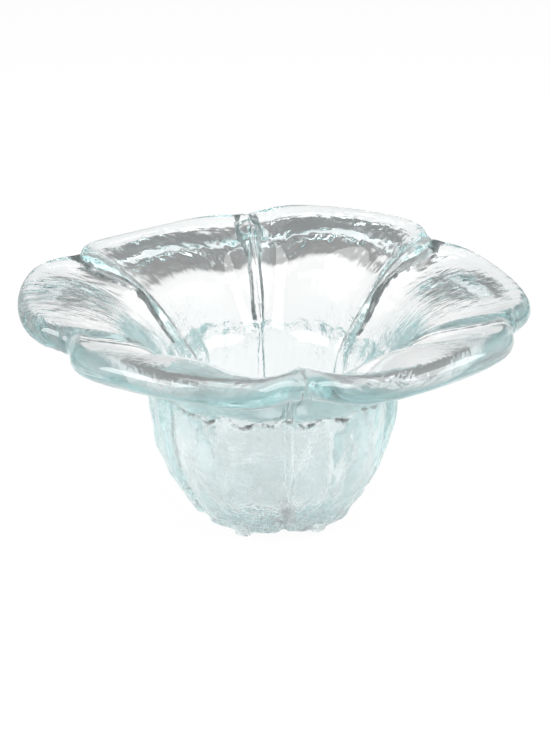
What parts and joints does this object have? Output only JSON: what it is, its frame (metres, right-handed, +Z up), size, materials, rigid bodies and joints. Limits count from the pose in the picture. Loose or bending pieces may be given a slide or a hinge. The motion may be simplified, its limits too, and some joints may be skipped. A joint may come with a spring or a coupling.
{
  "type": "floating candle bowl",
  "caption": "Clear glass candle bowl shaped as an open flower: a petalled dish with a thick rounded rim on a short lobed cup with small feet.",
  "frame": {"origin": "on the cup's axis, in the plane that the feet stand on", "axes": "+Z up along the cup's axis, +X along the middle of the first petal"},
  "size_m": [0.1478, 0.1464, 0.0762],
  "materials": {
    "glass": "polished inside, rippled outside"
  },
  "bodies": {
    "root": {"cup_wall": "glass", "cup_floor": "glass", "petal_1": "glass", "petal_2": "glass", "petal_3": "glass", "petal_4": "glass", "petal_5": "glass", "petal_6": "glass", "foot_1": "glass", "foot_2": "glass", "foot_3": "glass", "foot_4": "glass", "foot_5": "glass", "foot_6": "glass"}
  },
  "joints": []
}
